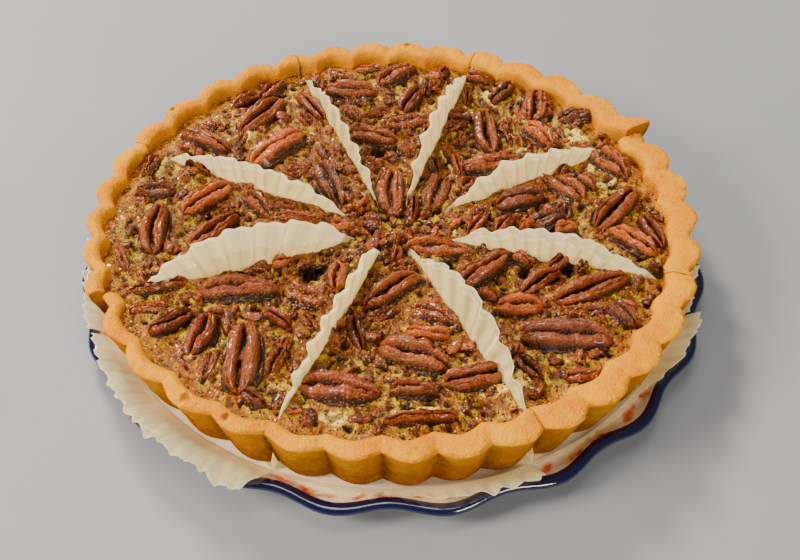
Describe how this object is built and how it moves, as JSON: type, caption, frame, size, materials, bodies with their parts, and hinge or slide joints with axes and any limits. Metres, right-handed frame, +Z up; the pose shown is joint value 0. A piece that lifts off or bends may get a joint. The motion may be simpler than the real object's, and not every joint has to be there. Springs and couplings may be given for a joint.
{
  "type": "pecan pie",
  "caption": "Pecan pie in a fluted crust, cut in wedges that each stand on a folded round paper, with pecan halves baked into the custard, on a shallow glazed dish.",
  "frame": {"origin": "on the table, under the pie's axis and the dish's middle", "axes": "+Z up through the pie, -Y towards the viewer of the picture, +X to the viewer's right"},
  "size_m": [0.258, 0.258, 0.045],
  "materials": {
    "dish": "glazed stoneware, cream with a dark blue edge and orange brush dabs",
    "paper": "thin white pleated greaseproof paper, translucent",
    "crust": "golden baked shortcrust, browner down its side",
    "filling": "baked spongy custard with toffee, moist",
    "pecan": "baked pecan with a thin sugar glaze"
  },
  "bodies": {
    "root": {"dish": "dish", "paper_1": "paper", "paper_2": "paper", "paper_3": "paper", "paper_4": "paper", "paper_5": "paper", "paper_6": "paper", "paper_7": "paper", "paper_8": "paper", "crust_1": "crust", "crust_2": "crust", "crust_3": "crust", "crust_4": "crust", "crust_5": "crust", "crust_6": "crust", "crust_7": "crust", "crust_8": "crust", "filling_1": "filling", "filling_2": "filling", "filling_3": "filling", "filling_4": "filling", "filling_5": "filling", "filling_6": "filling", "filling_7": "filling", "filling_8": "filling", "pecan_1_1": "pecan", "pecan_1_2": "pecan", "pecan_1_3": "pecan", "pecan_1_4": "pecan", "pecan_2_1": "pecan", "pecan_2_2": "pecan", "pecan_2_3": "pecan", "pecan_2_4": "pecan", "pecan_3_1": "pecan", "pecan_3_2": "pecan", "pecan_3_3": "pecan", "pecan_3_4": "pecan", "pecan_4_1": "pecan", "pecan_4_2": "pecan", "pecan_4_3": "pecan", "pecan_4_4": "pecan", "pecan_5_1": "pecan", "pecan_5_2": "pecan", "pecan_5_3": "pecan", "pecan_5_4": "pecan", "pecan_6_1": "pecan", "pecan_6_2": "pecan", "pecan_6_3": "pecan", "pecan_6_4": "pecan", "pecan_7_1": "pecan", "pecan_7_2": "pecan", "pecan_7_3": "pecan", "pecan_7_4": "pecan", "pecan_8_1": "pecan", "pecan_8_2": "pecan", "pecan_8_3": "pecan", "pecan_8_4": "pecan"}
  },
  "joints": []
}
